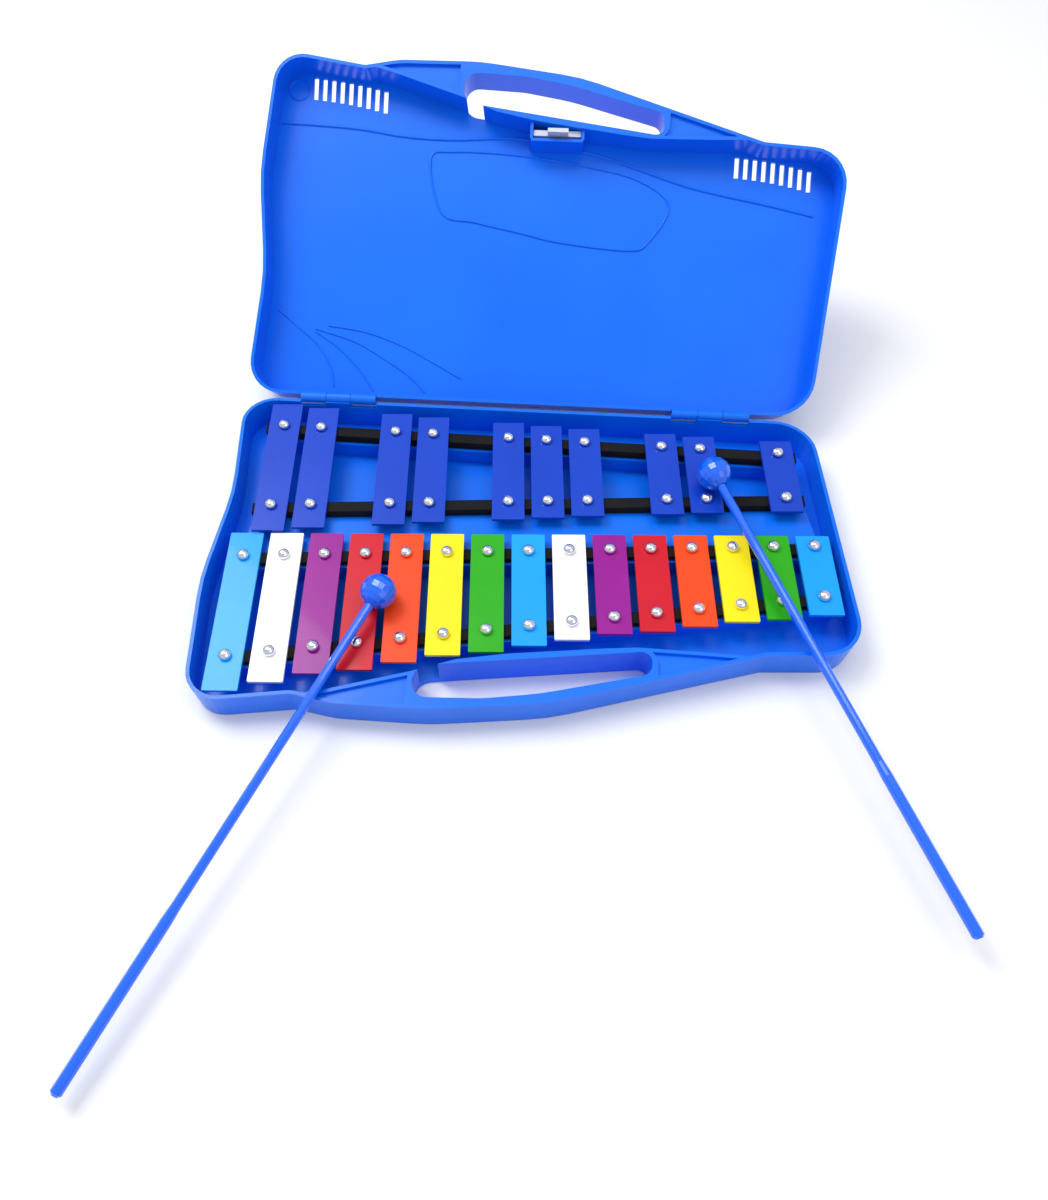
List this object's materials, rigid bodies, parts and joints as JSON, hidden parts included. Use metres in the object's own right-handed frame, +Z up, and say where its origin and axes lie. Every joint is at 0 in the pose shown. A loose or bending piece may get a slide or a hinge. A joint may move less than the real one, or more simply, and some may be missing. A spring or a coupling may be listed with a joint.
{
  "type": "metallophone",
  "caption": "Chromatic tuned-bar metallophone in a hinged plastic carrying case, open, with mallets resting on its bars.",
  "frame": {"origin": "middle of the case base's flat underside, where it rests", "axes": "+Z up, +Y from the handle towards the hinge, +X along the hinge from the long bars to the short bars"},
  "size_m": [0.4804, 0.6929, 0.166],
  "materials": {
    "case": "moulded, satin gloss",
    "rail": "soft black strip",
    "steel": "polished",
    "latch": "light grey",
    "mallet": "glossy",
    "bar_light_blue": "gloss enamel",
    "bar_white": "gloss enamel",
    "bar_purple": "gloss enamel",
    "bar_red": "gloss enamel",
    "bar_orange": "gloss enamel",
    "bar_yellow": "gloss enamel",
    "bar_green": "gloss enamel",
    "bar_dark_blue": "gloss enamel"
  },
  "bodies": {
    "base": {"bar_G1": "bar_light_blue", "bar_A1": "bar_white", "bar_B1": "bar_purple", "bar_C1": "bar_red", "bar_D1": "bar_orange", "bar_E1": "bar_yellow", "bar_F1": "bar_green", "bar_G2": "bar_light_blue", "bar_A2": "bar_white", "bar_B2": "bar_purple", "bar_C2": "bar_red", "bar_D2": "bar_orange", "bar_E2": "bar_yellow", "bar_F2": "bar_green", "bar_G3": "bar_light_blue", "bar_G1_sharp": "bar_dark_blue", "bar_A1_sharp": "bar_dark_blue", "bar_C1_sharp": "bar_dark_blue", "bar_D1_sharp": "bar_dark_blue", "bar_F1_sharp": "bar_dark_blue", "bar_G2_sharp": "bar_dark_blue", "bar_A2_sharp": "bar_dark_blue", "bar_C2_sharp": "bar_dark_blue", "bar_D2_sharp": "bar_dark_blue", "bar_F2_sharp": "bar_dark_blue", "rail_natural_rear": "rail", "rail_natural_front": "rail", "rail_sharp_rear": "rail", "rail_sharp_front": "rail", "case_base": "case", "hinge_pin_left": "steel", "hinge_pin_right": "steel"},
    "lid": {"lid": "case"},
    "latch": {"latch_bar": "latch"},
    "mallet_left": {"mallet_head_left": "mallet", "mallet_stick_left": "mallet"},
    "mallet_right": {"mallet_head_right": "mallet", "mallet_stick_right": "mallet"}
  },
  "joints": [
    {"name": "lid_hinge", "type": "hinge", "parent": "base", "child": "lid", "pos_m": [0, 0.16, 0.0252], "axis": [1, 0, 0], "range_deg": [0, 146]},
    {"name": "latch_rock", "type": "hinge", "parent": "lid", "child": "latch", "pos_m": [0, 0.33143, 0.13263], "axis": [1, 0, 0], "range_deg": [0, 10]},
    {"name": "mallet_left_off", "type": "slide", "parent": "base", "child": "mallet_left", "axis": [-0.3838, -0.8912, 0.2419], "range_m": [0, 0.33]},
    {"name": "mallet_right_off", "type": "slide", "parent": "base", "child": "mallet_right", "axis": [0.3835, -0.8913, 0.2419], "range_m": [0, 0.33]}
  ],
  "couplings": [
    {"joint": "mallet_left_off", "follows": "lid_hinge", "m_per_rad": 0.12931},
    {"joint": "mallet_right_off", "follows": "lid_hinge", "m_per_rad": 0.12931}
  ]
}
